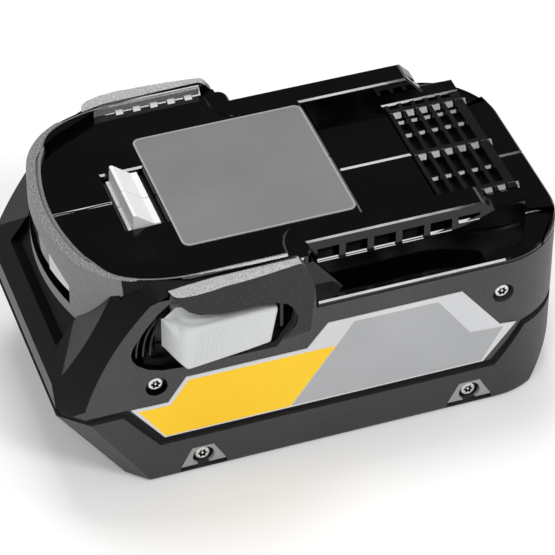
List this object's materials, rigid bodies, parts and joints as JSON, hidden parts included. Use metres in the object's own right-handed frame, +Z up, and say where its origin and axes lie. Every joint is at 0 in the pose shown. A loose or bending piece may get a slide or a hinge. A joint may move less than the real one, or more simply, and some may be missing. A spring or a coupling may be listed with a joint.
{
  "type": "vacuum cleaner battery",
  "caption": "Slide-on rechargeable battery with guide rails, side release buttons, sprung latch, charge gauge and round cells in a two-part case.",
  "frame": {"origin": "middle of the base, on the surface the pack rests on", "axes": "+X towards the end that enters the machine, +Y towards the left side, +Z up through the rails"},
  "size_m": [0.135, 0.0814, 0.0637],
  "materials": {
    "housing_plastic": "fine textured charcoal moulding",
    "tray_plastic": "fine textured charcoal moulding",
    "gasket_rubber": "black, dull",
    "deck_plastic": "polished black moulding",
    "button_plastic": "light grey satin moulding",
    "seat_plastic": "light grey satin moulding",
    "guide_plastic": "black moulding",
    "window_plastic": "smoked glossy window",
    "side_label_film": "printed film, yellow and grey fields",
    "top_label_film": "plain grey printed film",
    "screw_steel": "bright zinc plated",
    "spring_steel": "bare spring wire",
    "cell_can": null,
    "holder_plastic": "black moulding",
    "nickel": "nickel strip",
    "board_laminate": "green circuit board laminate",
    "chip_epoxy": "black moulded packages",
    "led_epoxy": "clear epoxy",
    "contact_copper": "tinned copper alloy forks"
  },
  "bodies": {
    "case": {"upper_housing": "housing_plastic", "lower_tray": "tray_plastic", "seam_gasket": "gasket_rubber", "deck_left": "deck_plastic", "deck_right": "deck_plastic", "screw_seat_plates": "seat_plastic", "button_guide_left": "guide_plastic", "button_guide_right": "guide_plastic", "latch_carrier": "guide_plastic", "terminal_block": "guide_plastic", "gauge_window": "window_plastic", "side_label_left": "side_label_film", "side_label_right": "side_label_film", "top_label": "top_label_film", "housing_screws": "screw_steel", "tray_screws": "screw_steel", "latch_spring_left": "spring_steel", "latch_spring_right": "spring_steel", "cell_01": "cell_can", "cell_02": "cell_can", "cell_03": "cell_can", "cell_04": "cell_can", "cell_05": "cell_can", "cell_06": "cell_can", "cell_07": "cell_can", "cell_08": "cell_can", "cell_09": "cell_can", "cell_10": "cell_can", "cell_holder_left": "holder_plastic", "cell_holder_right": "holder_plastic", "end_cover_left": "holder_plastic", "end_cover_right": "holder_plastic", "bus_strips_left": "nickel", "bus_strips_right": "nickel", "protection_board": "board_laminate", "gauge_board": "board_laminate", "board_transistors": "chip_epoxy", "temperature_sensor": "chip_epoxy", "gauge_leds": "led_epoxy", "power_contact_positive": "contact_copper", "power_contact_negative": "contact_copper", "signal_contacts": "contact_copper"},
    "left_button": {"release_button_left": "button_plastic"},
    "right_button": {"release_button_right": "button_plastic"},
    "left_latch": {"latch_left": "button_plastic"},
    "right_latch": {"latch_right": "button_plastic"},
    "check_key": {"gauge_key": "button_plastic"}
  },
  "joints": [
    {"name": "left_button_press", "type": "slide", "parent": "case", "child": "left_button", "axis": [0, -1, 0], "range_m": [0, 0.0032], "stiffness_N_per_m": 1500, "springref_m": -0.002},
    {"name": "left_latch_drop", "type": "slide", "parent": "case", "child": "left_latch", "axis": [0, 0, -1], "range_m": [0, 0.00353], "deforming": ["latch_spring_left"]},
    {"name": "right_button_press", "type": "slide", "parent": "case", "child": "right_button", "axis": [0, 1, 0], "range_m": [0, 0.0032], "stiffness_N_per_m": 1500, "springref_m": -0.002},
    {"name": "right_latch_drop", "type": "slide", "parent": "case", "child": "right_latch", "axis": [0, 0, -1], "range_m": [0, 0.00353], "deforming": ["latch_spring_right"]},
    {"name": "check_key_press", "type": "slide", "parent": "case", "child": "check_key", "axis": [1, 0, 0], "range_m": [0, 0.0008], "stiffness_N_per_m": 1500, "springref_m": -0.0006}
  ],
  "couplings": [
    {"joint": "left_latch_drop", "follows": "left_button_press", "ratio": 1.1},
    {"joint": "right_latch_drop", "follows": "right_button_press", "ratio": 1.1}
  ]
}
